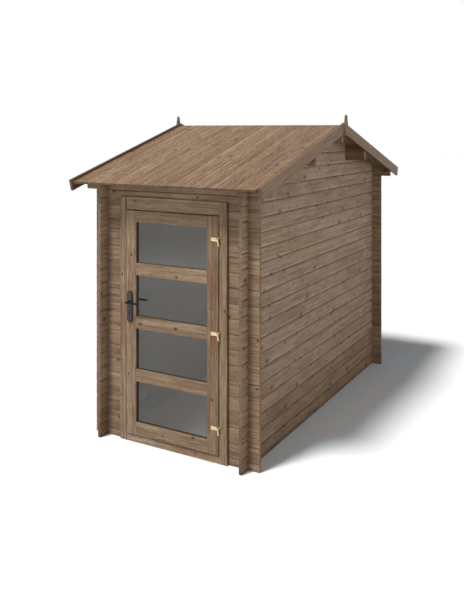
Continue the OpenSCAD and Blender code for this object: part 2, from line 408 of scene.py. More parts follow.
def timber_group(knots: Group) -> Group:
    """Sawn softwood, with rings, streaks, fibres, reddish patches and knots.

    Args:
        knots: the group that sets the knots.

    Returns:
        The group: it gives the colour, roughness and height of the surface.
    """
    g = Group(
        "timber",
        {
            "Vector": (0.0, 0.0, 0.0),
            "Board": 0.0,
            "Light": (0.4, 0.28, 0.18, 1.0),
            "Dark": (0.2, 0.12, 0.07, 1.0),
            "Red": (0.3, 0.12, 0.07, 1.0),
            "Knot": (0.06, 0.03, 0.02, 1.0),
            "Streak": 1.5,
            "Fleck": 1.0,
            "Speckle": 0.5,
            "Rings": 0.3,
            "Patches": 0.3,
            "Vary": 0.12,
            "Knot Spacing": 0.4,
            "Knot Width": 0.114,
            "Knot Size": 0.012,
            "Knot Amount": 0.4,
        },
        {"Color": "Color", "Roughness": "Float", "Height": "Float"},
    )
    given = g.given
    own = g.chance(given["Board"])["Color"]
    moved = g.vector("ADD", given["Vector"], g.vector("MULTIPLY", own, (37.0, 0.0, 0.0)))
    along, across, through = g.split(moved)
    knot_sizes = {key: given["Knot " + key] for key in ("Spacing", "Width", "Size", "Amount")}
    knot = knots.place(g, Vector=moved, **knot_sizes)
    bent = g.plus(across, knot["Push"])
    _, tone_chance, pith_chance = g.split(own)

    # The rings lie round a pith that wanders slowly beside the board.
    slow = g.noise(g.join(g.times(along, 0.9), tone_chance, 0.0), 1.0, 1.0)
    pith_across = g.times(g.plus(g.minus(slow, 1.0), pith_chance), 0.09)
    pith_through = g.scaled(g.minus(tone_chance, 0.5), 0.1, g.times(slow, 0.05))
    from_pith = g.join(g.minus(bent, pith_across), g.plus(through, pith_through), 0.0)
    ripple = g.noise(g.join(g.times(along, 3.0), g.times(bent, 20.0), through), 1.0, 2.0)
    out = g.vector("LENGTH", from_pith)
    phase = g.math("FRACT", g.plus(g.times(out, RINGS), g.times(ripple, 1.6)))
    ring = g.times(g.ramp(phase, 0.15, 0.85), g.ramp(phase, 0.9, 1.0, 1.0, 0.0))

    fibres = g.join(along, bent, through)
    streak = g.noise(fibres, STREAKS, 4.0, 0.65)
    fleck = g.noise(fibres, FLECKS, 3.0, 0.6)
    speckle = g.noise(fibres, SPECKLES, 2.0, 0.6)
    fibre = g.noise(fibres, FIBRES, 2.0)
    patch = g.noise(fibres, PATCHES, 3.0, 0.6)

    tone = 0.5
    for marks, amount in (
        (streak, given["Streak"]),
        (fleck, given["Fleck"]),
        (speckle, given["Speckle"]),
        (fibre, 0.6),
    ):
        tone = g.scaled(g.minus(marks, 0.5), amount, tone)
    tone = g.math("SUBTRACT", tone, g.times(g.minus(ring, 0.4), given["Rings"]), clamp=True)
    colour = g.mix(tone, given["Dark"], given["Light"])
    colour = g.mix(g.times(g.ramp(patch, 0.44, 0.66), given["Patches"]), colour, given["Red"])
    colour = g.dimmed(colour, g.scaled(g.minus(tone_chance, 0.5), given["Vary"], 1.0))
    colour = g.mix(g.times(knot["Ring"], 0.45), colour, given["Red"])
    height = g.plus(g.times(fibre, 0.5), g.times(streak, 0.35))
    height = g.minus(height, g.times(ring, 0.15))
    g.fill(
        g.result,
        Color=g.mix(g.times(knot["Core"], 0.85), colour, given["Knot"]),
        Roughness=g.scaled(g.minus(fibre, 0.5), 0.3, 0.66),
        Height=g.plus(height, g.times(knot["Core"], 0.25)),
    )
    return g


def smudge_group() -> Group:
    """Handling marks on metal and glass.

    Returns:
        The group: it gives a roughness and a mask for a faint change of colour.
    """
    g = Group(
        "smudges",
        {"Vector": (0.0, 0.0, 0.0), "Low": 0.3, "High": 0.5, "Scale": 40.0},
        {"Roughness": "Float", "Mask": "Float"},
    )
    low = g.given["Low"]
    mask = g.ramp(g.noise(g.given["Vector"], g.given["Scale"], 4.0, 0.6), 0.35, 0.7)
    g.fill(g.result, Mask=mask, Roughness=g.scaled(mask, g.minus(g.given["High"], low), low))
    return g


TIMBER = timber_group(knots_group())
COURSES = courses_group()
SMUDGES = smudge_group()


@dataclass(frozen=True)
class Finish:
    """A named finish, whose surface each kind of finish wires in its own way."""

    name: str

    def build(self) -> bpy.types.Material:
        """Makes the material.

        Returns:
            The finished material.
        """
        material = bpy.data.materials.new(self.name)
        material.use_nodes = True
        t = Tree(material.node_tree)
        surface = self.surface(t, t.node("TexCoord").outputs)
        t.fill(t.node("OutputMaterial"), Surface=surface)
        return material

    def surface(self, t: Tree, read: Outputs) -> Socket:
        """Wires the surface.

        Args:
            t: the tree being wired.
            read: the coordinates that it may read.

        Returns:
            The shader.
        """
        raise NotImplementedError


@dataclass(frozen=True)
class Wood(Finish):
    """A wood finish for boards that all run one way.

    A tone multiplies the colour and leaves it alone at 1. Each of the lines has a place across the
    boards, a width and a tone. Apart from the wood's own marks and its darker cut ends, these tones
    paint light and shade: bands beside the joints, lines, sides that face inwards, tops, a corner
    and the foot of a wall.
    """

    grain: Grain
    light: Colour = (0.47, 0.345, 0.235)
    dark: Colour = (0.15, 0.092, 0.052)
    red: Colour = (0.25, 0.115, 0.062)
    knot: Colour = (0.05, 0.028, 0.018)
    course: float = 3.0
    start: float = -1.5
    seed: float = 0.0
    streak: float = 1.5
    fleck: float = 1.0
    speckle: float = 0.5
    rings: float = 0.2
    cut_rings: float = 0.3
    patches: float = 0.45
    tone: float = 1.0
    vary: float = 0.16
    knot_spacing: float = 0.4
    knot_width: float = 0.114
    knot_size: float = 0.010
    knot_amount: float = 0.5
    over_width: float = 0.0
    over_tone: float = 1.0
    over_share: float = 1.0
    under_width: float = 0.0
    under_tone: float = 1.0
    groove: float = 0.0
    groove_tone: float = 1.0
    end_tone: float = 0.72
    inward_shade: float = 1.0
    inward_joints: float = 1.0
    upper_shade: float = 1.0
    corner: float = 0.0
    corner_reach: float = 0.07
    corner_shade_tone: float = 1.0
    foot_height: float = 0.0
    foot_shade: Colour = WHITE
    ground_shade_height: float = 0.045
    ground_shade_tone: float = 0.45
    calm_inside: float = 0.0
    lines: tuple[tuple[float, float, float], ...] = ()
    gloss: float = 0.25
    bump: float = 0.5
    bump_height: float = 0.0008

    def surface(self, t: Tree, read: Outputs) -> Socket:
        """Wires boards of sawn wood.

        Args:
            t: the tree being wired.
            read: the coordinates that it may read.

        Returns:
            The shader.
        """
        turned = self.turned(t, read["Object"])
        board = COURSES.place(t, Vector=turned, Course=self.course, Start=self.start, Seed=self.seed)
        facing, _, _ = t.split(self.turned(t, read["Normal"]))
        cut = t.ramp(t.math("ABSOLUTE", facing), 0.6, 0.9)
        marks = ("light", "dark", "red", "knot", "streak", "fleck", "speckle", "patches", "vary")
        sizes = ("knot_spacing", "knot_width", "knot_size")
        wood = TIMBER.place(
            t,
            Vector=board["Vector"],
            Board=board["Board"],
            Rings=t.scaled(cut, self.cut_rings, self.rings),
            Knot_Amount=t.scaled(cut, -self.knot_amount, self.knot_amount),
            **{key.title(): getattr(self, key) for key in (*marks, *sizes)},
        )
        shade = self.shade(t, read, turned, cut, board)
        # A darker shade is a warmer one as well.
        warm = t.join(t.math("POWER", shade, 0.85), shade, t.math("POWER", shade, 1.12))
        colour = self.placed(t, read, t.vector("MULTIPLY", wood["Color"], warm))
        shader = t.fill(
            t.node("BsdfPrincipled"),
            Base_Color=colour,
            Roughness=wood["Roughness"],
            Specular_IOR_Level=self.gloss,
            Normal=t.bumped(wood["Height"], self.bump, self.bump_height),
        )
        return shader.outputs[0]

    def turned(self, t: Tree, vector: Socket) -> Socket:
        """Turns coordinates so that the fibres run along X, with Y across and Z through the board.

        Args:
            t: the tree being wired.
            vector: object coordinates or a normal.

        Returns:
            The turned vector.
        """
        along, across, through, tilt = self.grain.value
        if tilt:
            turn = t.node("Mapping", vector_type="POINT")
            vector = t.fill(turn, Vector=vector, Rotation=(tilt, 0.0, 0.0)).outputs[0]
        axes = dict(zip("XYZ", t.split(vector)))
        return t.join(axes[along], axes[across], axes[through])

    def shade(self, t: Tree, read: Outputs, turned: Socket, cut: Socket, board: Outputs) -> Socket:
        """Wires how light or dark the wood is by where it faces and how near a joint or edge it is:
        besides the cut faces' own darker tone, this is mostly painted light and shade.

        Args:
            t: the tree being wired.
            read: the coordinates of the piece.
            turned: the same coordinates, turned to the fibres.
            cut: 1 on faces that are cut across the fibres.
            board: what the courses group gives.

        Returns:
            The shade, 1 for the wood's plain colour.
        """
        normal = read["Normal"]
        x, y, _ = t.split(read["Object"])
        _, _, upward = t.split(normal)
        _, across, _ = t.split(turned)
        shade = t.scaled(cut, (self.end_tone - 1.0) * self.tone, self.tone)
        # Painted light and shade: each line lightens or darkens a narrow band across the boards.
        for place, width, tone in self.lines:
            line = t.ramp(t.away(across, place), width * 0.4, width, tone, 1.0)
            shade = t.times(shade, line)
        # Painted shade: sides that face in towards the middle of the shed and are not tops come out
        # darker.
        if self.inward_shade != 1.0:
            outward = t.vector("DOT_PRODUCT", read["Object"], normal)
            inward = t.times(t.math("LESS_THAN", outward, -0.5), t.math("LESS_THAN", upward, 0.2))
            shade = t.toned(shade, inward, self.inward_shade)
        # Painted shade on faces that look up.
        if self.upper_shade != 1.0:
            shade = t.toned(shade, t.math("GREATER_THAN", upward, 0.8), self.upper_shade)
        face = t.minus(1.0, cut)
        # Painted shade: the sides of log ends that stand out past the front and back walls are darker
        # near the corner.
        if self.corner:
            out = t.minus(t.math("ABSOLUTE", y), self.corner)
            past = t.math("GREATER_THAN", out, -WALL_SLACK)
            corner_shade_mask = t.times(t.ramp(out, 0.0, self.corner_reach, 1.0, 0.0), past, face)
            shade = t.toned(shade, corner_shade_mask, self.corner_shade_tone)
        # The painted joint bands below are weaker on faces that look in towards the middle.
        if self.inward_joints != 1.0:
            toward = t.vector("DOT_PRODUCT", t.join(x, 0.0, 0.0), normal)
            face = t.toned(face, t.math("LESS_THAN", toward, -0.5), self.inward_joints)
        # Painted light and shade beside the joints: a band on each side of a joint and one over its
        # groove; the first may fall beside only a share of the boards.
        over, under = board["Over Joint"], board["Under Joint"]
        for place, width, tone, share in (
            (over, self.over_width, self.over_tone, self.over_share),
            (under, self.under_width, self.under_tone, 1.0),
            (t.math("MINIMUM", over, under), self.groove, self.groove_tone, 1.0),
        ):
            if width:
                near = t.times(t.ramp(place, width * 0.6, width, 1.0, 0.0), face)
                if share < 1.0:
                    chance = t.chance(t.plus(board["Board"], 0.61))["Value"]
                    near = t.times(near, t.math("LESS_THAN", chance, share))
                shade = t.toned(shade, near, tone)
        return shade

    def placed(self, t: Tree, read: Outputs, colour: Socket) -> Socket:
        """Wires the painted shade towards the ground and the plainer colour inside the room.

        Args:
            t: the tree being wired.
            read: the coordinates of the piece.
            colour: the wood's colour.

        Returns:
            The changed colour.
        """
        x, y, z = t.split(read["Object"])
        # Painted shade: darker and tinted towards the ground, and darker still in a thin band at the
        # foot.
        if self.foot_height:
            foot = t.ramp(z, 0.0, self.foot_height, 1.0, 0.0)
            colour = t.vector("MULTIPLY", colour, t.mix(foot, WHITE, self.foot_shade))
            colour = t.dimmed(colour, t.ramp(z, 0.0, self.ground_shade_height, self.ground_shade_tone, 1.0))
        if self.calm_inside:
            right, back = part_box("right_wall")[0].x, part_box("back_wall")[0].y
            wide = t.math("LESS_THAN", t.math("ABSOLUTE", x), right + WALL_SLACK)
            deep = t.math("LESS_THAN", t.math("ABSOLUTE", y), back + WALL_SLACK)
            plain = tuple((light + dark) / 2 for light, dark in zip(self.light, self.dark))
            colour = t.mix(t.times(wide, deep, self.calm_inside), colour, plain)
        return colour


@dataclass(frozen=True)
class Metal(Finish):
    """A metal or painted finish, worn in places and, if it has a rim, darker along an outline as
    painted shade.
    """

    colour: Colour
    worn: Colour
    metallic: float = 1.0
    low: float = 0.25
    high: float = 0.42
    scale: float = 60.0
    gloss: float = 0.5
    rim: float = 0.0
    rim_of: str = ""
    rim_shade: float = 0.15

    def surface(self, t: Tree, read: Outputs) -> Socket:
        """Wires worn metal.

        Args:
            t: the tree being wired.
            read: the coordinates that it may read.

        Returns:
            The shader.
        """
        place = read["Object"]
        marks = SMUDGES.place(t, Vector=place, Low=self.low, High=self.high, Scale=self.scale)
        colour = t.mix(marks["Mask"], self.colour, self.worn)
        # Painted shade along the rounded outline of a plate.
        if self.rim:
            low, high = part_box(self.rim_of)
            round_end = (high.x - low.x) / 2
            x, _, z = t.split(t.vector("SUBTRACT", place, tuple((low + high) / 2)))
            beyond = t.minus(t.math("ABSOLUTE", z), (high.z - low.z) / 2 - round_end)
            reach = t.vector("LENGTH", t.join(x, 0.0, t.math("MAXIMUM", beyond, 0.0)))
            start, end = round_end - self.rim, round_end - self.rim * 0.5
            colour = t.dimmed(colour, t.ramp(reach, start, end, 1.0, self.rim_shade))
        shader = t.fill(
            t.node("BsdfPrincipled"),
            Base_Color=colour,
            Metallic=self.metallic,
            Specular_IOR_Level=self.gloss,
            Roughness=marks["Roughness"],
            Normal=t.bumped(t.noise(place, 900.0), 0.25, 0.0002),
        )
        return shader.outputs[0]


@dataclass(frozen=True)
class Glass(Finish):
    """A grey-tinted window glass that lets lamps through, with painted shade over one pane."""

    name: str = "pane_glass"
    tint: Colour = (0.575, 0.705, 0.80)
    lamp_tint: Colour = (0.6, 0.63, 0.65)
    shaded_pane_height: float = 1.166
    shaded_pane_reach: tuple[float, float] = (0.165, 0.25)
    shaded_pane_tone: float = 0.87

    def surface(self, t: Tree, read: Outputs) -> Socket:
        """Wires the glass.

        Args:
            t: the tree being wired.
            read: the coordinates that it may read.

        Returns:
            The shader.
        """
        marks = SMUDGES.place(t, Vector=read["Object"], Low=0.105, High=0.135, Scale=5.0)
        # Painted shade: the glass is darker round one height, over the pane through which a lit patch
        # of the room shows.
        _, _, z = t.split(read["Object"])
        deep = t.ramp(t.away(z, self.shaded_pane_height), *self.shaded_pane_reach, self.shaded_pane_tone, 1.0)
        shader = t.fill(
            t.node("BsdfPrincipled"),
            Base_Color=t.dimmed(self.tint, deep),
            Roughness=marks["Roughness"],
            Transmission_Weight=1.0,
            IOR=1.45,
            Specular_IOR_Level=0.1,
        )
        clear = t.fill(t.node("BsdfTransparent"), Color=self.lamp_tint)
        lamps = t.node("LightPath").outputs["Is Shadow Ray"]
        return t.fill(t.node("MixShader"), lamps, shader.outputs[0], clear.outputs[0]).outputs[0]


@dataclass(frozen=True)
class FloorWhite(Finish):
    """A floor that is white to the eye and lights as a darker one, with bare ground in the shed.

    Inside the sun's cast shadow the floor is painted a cooler colour, and darker beside the gable as
    painted shade. Each of the shadow's limits is a stretch over which this painted tone starts or
    ends. The slanting line beside the gable has a factor for X, a factor for Y and an offset.
    """

    name: str = "floor_white"
    seen: Colour = (1.072, 1.075, 1.088)
    shaded: Colour = (1.025, 1.115, 1.18)
    beside: Colour = (0.935, 1.035, 1.11)
    ground: Colour = (0.56, 0.43, 0.325)
    given: float = 0.34
    shadow_near: tuple[float, float] = (0.5, 0.66)
    shadow_far: tuple[float, float] = (1.0, 1.35)
    shadow_back: tuple[float, float] = (1.9, 2.5)
    shadow_line: Point = (-0.789, 0.615, 1.467)
    shadow_edge: tuple[float, float] = (0.02, 0.2)

    def surface(self, t: Tree, read: Outputs) -> Socket:
        """Wires the floor.

        Args:
            t: the tree being wired.
            read: the coordinates that it may read.

        Returns:
            The shader.
        """
        x, y, _ = t.split(read["Object"])
        inside = t.times(
            t.math("GREATER_THAN", x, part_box("left_wall")[1].x),
            t.math("LESS_THAN", x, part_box("right_wall")[0].x),
            t.math("GREATER_THAN", y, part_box("front_wall_top")[1].y),
            t.math("LESS_THAN", y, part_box("back_wall")[0].y),
        )
        # Painted shadow colour: a mask shaped like the cast shadow, with a cooler tint in it and a
        # darker one beside the gable.
        slant_x, slant_y, slant = self.shadow_line
        within = t.plus(t.times(x, slant_x), t.scaled(y, slant_y, slant))
        shade = t.times(
            t.ramp(x, *self.shadow_near),
            t.ramp(x, *self.shadow_far, 1.0, 0.0),
            t.ramp(within, *self.shadow_edge),
            t.ramp(y, *self.shadow_back, 1.0, 0.0),
        )
        cool = t.mix(t.ramp(x, self.shadow_near[1], self.shadow_far[0]), self.beside, self.shaded)
        near = t.mix(inside, t.mix(shade, self.seen, cool), self.ground)
        far = t.mix(inside, (self.given,) * 3, self.ground)
        return t.fill(t.node("BsdfDiffuse"), Color=t.mix(t.seen(), far, near)).outputs[0]


def linked(name: str, data: bpy.types.ID) -> bpy.types.Object:
    """Puts data into the scene as a new object.

    Args:
        name: the object's name.
        data: its mesh, lamp or camera.

    Returns:
        The new object.
    """
    made = bpy.data.objects.new(name, data)
    bpy.context.scene.collection.objects.link(made)
    return made


def solid(name: str, mesh: Shape, material: bpy.types.Material) -> bpy.types.Object:
    """Turns a bmesh into an object.

    Args:
        name: the object's name.
        mesh: its shape, in place.
        material: its finish.

    Returns:
        The new object.
    """
    data = bpy.data.meshes.new(name)
    mesh.to_mesh(data)
    mesh.free()
    data.materials.append(material)
    return linked(name, data)


def finished(
    name: str, mesh: Shape, material: bpy.types.Material, body: str
) -> bpy.types.Object:
    """Turns a bmesh into a piece that rides on a body.

    Args:
        name: the piece's name.
        mesh: its shape, in place.
        material: its finish.
        body: the body it rides on.

    Returns:
        The new object.
    """
    piece = solid(name, mesh, material)
    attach(piece, body)
    return piece


def packed(node: str) -> Shape:
    """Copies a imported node's shape, with its loose triangles joined into whole faces.

    Args:
        node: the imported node.

    Returns:
        The copy.
    """
    mesh = bmesh.new()
    mesh.from_mesh(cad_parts[node].data)
    bmesh.ops.remove_doubles(mesh, verts=mesh.verts, dist=1e-5)
    bmesh.ops.dissolve_limit(mesh, angle_limit=FLAT_ANGLE, verts=mesh.verts, edges=mesh.edges)
    return mesh


def rounded(mesh: Shape, edges: list[Edge], width: float, segments: int = 2) -> None:
    """Rounds edges.

    Args:
        mesh: the shape.
        edges: its edges that are rounded.
        width: how wide the rounding is.
        segments: how many steps it has.
    """
    bmesh.ops.bevel(
        mesh,
        geom=edges,
        offset=width,
        affect="EDGES",
        segments=segments,
        profile=0.5,
        material=-1,
        clamp_overlap=True,
    )


def eased(
    node: str, width: float, material: bpy.types.Material, body: str
) -> bpy.types.Object:
    """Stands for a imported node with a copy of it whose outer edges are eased.

    Args:
        node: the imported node.
        width: how wide the easing is.
        material: the finish.
        body: the body it rides on.

    Returns:
        The new piece.
    """
    mesh = packed(node)
    outer = [edge for edge in mesh.edges if edge.is_manifold and edge.is_convex]
    rounded(mesh, [edge for edge in outer if edge.calc_face_angle(0.0) > OUTER_ANGLE], width)
    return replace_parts(finished(node + "_dressed", mesh, material, body), node)


def points(geom: list[Vert | Edge | Face]) -> list[Vert]:
    """Picks the vertices out of an operator's result."""
    return [part for part in geom if isinstance(part, Vert)]


def faces_of(verts: list[Vert]) -> list[Face]:
    """Gives the faces round some vertices, each once."""
    return list(dict.fromkeys(face for vert in verts for face in vert.link_faces))


def pillar(
    mesh: Shape, place: Matrix, radius: float, depth: float, segments: int, taper: float = 1.0
) -> list[Vert]:
    """Adds a round pillar with closed ends.

    Args:
        mesh: where it goes.
        place: its middle and the way it stands.
        radius: the radius of its foot.
        depth: its length.
        segments: how many sides it has.
        taper: its top's radius as a share of its foot's.

    Returns:
        Its vertices.
    """
    made = bmesh.ops.create_cone(
        mesh,
        cap_ends=True,
        segments=segments,
        radius1=radius,
        radius2=radius * taper,
        depth=depth,
        matrix=place,
    )
    return made["verts"]


@dataclass(frozen=True)
class Screw:
    """A screw head with a sunk drive, facing along Y."""

    radius: float
    rise: float = 0.0010
    top_share: float = 0.72
    rim_share: float = 0.34
    sunk_share: float = 0.7

    def add(self, mesh: Shape, place: Vector, way: float) -> None:
        """Adds the screw.

        Args:
            mesh: where it goes.
            place: the middle of its foot.
            way: -1 to face the front, 1 to face the back.
        """
        turn = Matrix.Rotation(QUARTER_TURN * -way, 4, "X")
        middle = Matrix.Translation(place + Vector((0.0, way * self.rise / 2, 0.0)))
        head = pillar(mesh, middle @ turn, self.radius, self.rise, 16, self.top_share)
        top = max(faces_of(head), key=lambda face: face.calc_center_median().y * way)
        ring = bmesh.ops.inset_region(mesh, faces=[top], thickness=self.radius * self.rim_share)
        sunk = (0.0, -way * self.rise * self.sunk_share, 0.0)
        bmesh.ops.translate(mesh, verts=list(top.verts), vec=sunk)
        around = dict.fromkeys([*faces_of(head), *ring["faces"]])
        bmesh.ops.recalc_face_normals(mesh, faces=list(around))


@dataclass(frozen=True)
class Run:
    """A straight stretch of a rod."""

    length: float


@dataclass(frozen=True)
class Bend:
    """A bend of a rod through an angle in degrees, towards a direction."""

    radius: float
    angle: float
    towards: Vector


def rod(
    mesh: Shape, start: Vector, way: Vector, radius: float, moves: tuple[Run | Bend, ...]
) -> None:
    """Adds a round rod with closed ends that runs straight and bends.

    Args:
        mesh: where it goes.
        start: where its middle line starts.
        way: the way it sets off, of length one.
        radius: its radius.
        moves: its stretches in order, of which the first is straight.
    """
    turn = way.to_track_quat("Z", "X").to_matrix().to_4x4()
    matrix = Matrix.Translation(start) @ turn
    disc = bmesh.ops.create_circle(mesh, cap_ends=True, segments=24, radius=radius, matrix=matrix)
    end, place, first = disc["verts"][0].link_faces[0], start.copy(), True
    for move in moves:
        if isinstance(move, Run):
            grown = bmesh.ops.extrude_face_region(mesh, geom=[end], use_keep_orig=first)["geom"]
            step = way * move.length
            bmesh.ops.translate(mesh, verts=points(grown), vec=step)
            place += step
        else:
            inward = (move.towards - way * move.towards.dot(way)).normalized()
            centre, axis = place + inward * move.radius, way.cross(inward)
            angle = math.radians(move.angle)
            whole = [end, *end.edges, *end.verts]
            spun = bmesh.ops.spin(mesh, geom=whole, cent=centre, axis=axis, angle=angle, steps=6)
            grown = spun["geom_last"]
            turned = Matrix.Rotation(angle, 3, axis)
            place, way = centre + turned @ (place - centre), turned @ way
        end, first = next(f for f in grown if isinstance(f, Face)), False


@dataclass
class LogWalls:
    """The four walls of stacked logs, their plates and the purlins."""

    ease: float = 0.0018
    calm_inside: float = 0.75
    front: tuple[str, ...] = ("front_wall_left", "front_wall_right", "front_wall_top")
    beams: tuple[str, ...] = ("front_plate", "back_plate", "front_purlin", "ridge_purlin")

    def build(self) -> list[bpy.types.Object]:
        """Dresses every wall node.

        Returns:
            The pieces made.
        """
        front = Wood(
            "front_log_wood",
            Grain.ALONG_X,
            course=LOG_COURSE,
            start=LOG_COURSE / 2,
            seed=3.1,
            streak=1.6,
            fleck=0.8,
            patches=0.35,
            tone=0.91,
            # Painted highlight along the top of each log and painted shade in its grooves.
            under_width=0.045,
            under_tone=1.12,
            groove=0.006,
            groove_tone=0.86,
            calm_inside=self.calm_inside,
        )
        left = Wood(
            "left_log_wood",
            Grain.ALONG_Y,
            light=(0.503, 0.373, 0.26),
            dark=(0.155, 0.102, 0.064),
            knot=(0.098, 0.056, 0.036),
            course=LOG_COURSE,
            start=0.0,
            seed=33.7,
            streak=1.2,
            fleck=0.7,
            speckle=1.0,
            patches=0.22,
            knot_spacing=0.34,
            knot_size=0.0135,
            knot_amount=0.7,
            # Painted highlight above each joint and painted shade below it; painted light lifts the
            # grooves' own shade.
            over_width=0.022,
            over_tone=1.17,
            under_width=0.018,
            under_tone=0.62,
            groove=0.0055,
            groove_tone=1.2,
            # Weaker painted joints on inward faces, painted shade by the wall corners and towards the
            # ground.
            inward_joints=0.45,
            corner=-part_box("front_wall_left")[0].y,
            corner_shade_tone=0.76,
            foot_height=0.7,
            foot_shade=(0.735, 0.68, 0.62),
            calm_inside=self.calm_inside,
        )
        # Painted shade on sides that face in towards the middle: the plates', the purlins' and the
        # back wall's.
        beam = Wood("beam_wood", Grain.ALONG_X, seed=17.0, streak=1.4, tone=1.08, inward_shade=0.6)
        back = replace(front, name="back_log_wood", seed=71.3, inward_shade=0.9)
        # The rear purlin is painted in shade all over, with its cut ends lighter.
        shaded = {"seed": 27.0, "streak": 1.4, "tone": 0.6, "end_tone": 1.15}
        shade_painted = Wood("sheltered_wood", Grain.ALONG_X, **shaded)
        made = []
        for wood, nodes in (
            (front, self.front),
            (back, ("back_wall",)),
            (left, ("left_wall",)),
            (replace(left, name="right_log_wood", seed=52.9), ("right_wall",)),
            (beam, self.beams),
            (shade_painted, ("rear_purlin",)),
        ):
            material = wood.build()
            made += [eased(node, self.ease, material, "shed") for node in nodes]
        return made


@dataclass
class Roof:
    """Two slopes of boards that run up to the ridge."""

    cover: float = 0.0894
    first_joint: float = -0.790
    joint_gap: float = 0.0001
    least_board: float = 0.01
    groove: float = 0.0008

    def build(self) -> list[bpy.types.Object]:
        """Lays both slopes.

        Returns:
            The pieces made.
        """
        front = Wood(
            "roof_front_wood",
            Grain.UP_FRONT_ROOF,
            light=(0.40, 0.287, 0.178),
            dark=(0.136, 0.076, 0.041),
            knot=(0.07, 0.036, 0.021),
            course=self.cover,
            start=self.first_joint,
            seed=12.0,
            streak=1.6,
            fleck=1.9,
            speckle=2.6,
            vary=0.28,
            knot_spacing=0.34,
            knot_width=0.09,
            knot_size=0.013,
            knot_amount=0.75,
            tone=0.895,
            # Painted highlight beside seven in ten board joints, and a darker line on the other side
            # of each joint.
            over_width=0.013,
            over_tone=1.8,
            over_share=0.7,
            under_width=0.008,
            under_tone=0.8,
            end_tone=0.8,
            # Painted shade on the last board, beside the right barge board.
            lines=((0.826, 0.016, 0.5),),
        )
        rear = replace(front, name="roof_rear_wood", grain=Grain.UP_REAR_ROOF, seed=10.0)
        made = []
        for node, wood in (("roof_front", front), ("roof_rear", rear)):
            piece = finished(node + "_boards", self.boards(node), wood.build(), "shed")
            made.append(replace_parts(piece, node))
        return made

    def boards(self, node: str) -> Shape:
        """Cuts a slope's slab into boards and eases their edges.

        Args:
            node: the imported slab.

        Returns:
            The boards, in place.
        """
        low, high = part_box(node)
        whole = packed(node)
        cuts = [low.x]
        joint = self.first_joint
        while joint < high.x - self.least_board:
            cuts.append(joint)
            joint += self.cover
        cuts.append(high.x)
        made = bmesh.new()
        for left, right in zip(cuts, cuts[1:]):
            board = whole.copy()
            for place, way in ((left + self.joint_gap, -1.0), (right - self.joint_gap, 1.0)):
                cut = bmesh.ops.bisect_plane(
                    board,
                    geom=[*board.verts, *board.edges, *board.faces],
                    plane_co=(place, 0.0, 0.0),
                    plane_no=(way, 0.0, 0.0),
                    clear_outer=True,
                )
                rim = [e for e in cut["geom_cut"] if isinstance(e, Edge)]
                bmesh.ops.contextual_create(board, geom=rim)
            bmesh.ops.recalc_face_normals(board, faces=board.faces)
            sharp = [edge for edge in board.edges if edge.calc_face_angle(0.0) > BOARD_ANGLE]
            rounded(board, sharp, self.groove)
            spare = bpy.data.meshes.new("spare")
            board.to_mesh(spare)
            board.free()
            made.from_mesh(spare)
            bpy.data.meshes.remove(spare)
        whole.free()
        return made


@dataclass
class RakeTrim:
    """The barge boards and the finials at the ridge."""

    ease: float = 0.002

    def build(self) -> list[bpy.types.Object]:
        """Dresses the trim.

        Returns:
            The pieces made.
        """
        barge = Wood(
            "barge_wood",
            Grain.ON_FRONT_RAKE,
            light=(0.37, 0.27, 0.185),
            dark=(0.14, 0.088, 0.053),
            streak=1.1,
            patches=0.3,
            knot_size=0.008,
            # Painted shade on the side that faces the shed.
            inward_shade=0.41,
        )
        finial = Wood("finial_wood", Grain.ALONG_Z, seed=21.0, streak=0.9, tone=0.8)
        woods = {}
        for end, grain, tone in (
            ("front", Grain.ON_FRONT_RAKE, 1.1),
            ("rear", Grain.ON_REAR_RAKE, 1.13),
        ):
            # Painted shade on the tops, darker on the left barge boards than on the right.
            for side, seed, upper in (("left", 5.0, 0.42), ("right", 8.0, 0.72)):
                wood = replace(barge, grain=grain, seed=seed, tone=tone, upper_shade=upper)
                woods[f"barge_{side}_{end}"] = wood
        woods["finial_left"] = replace(finial, light=(0.44, 0.355, 0.26))
        woods["finial_right"] = replace(finial, light=(0.47, 0.355, 0.255))
        made = []
        for node, wood in woods.items():
            material = replace(wood, name=node + "_wood").build()
            made.append(eased(node, self.ease, material, "shed"))
        return made


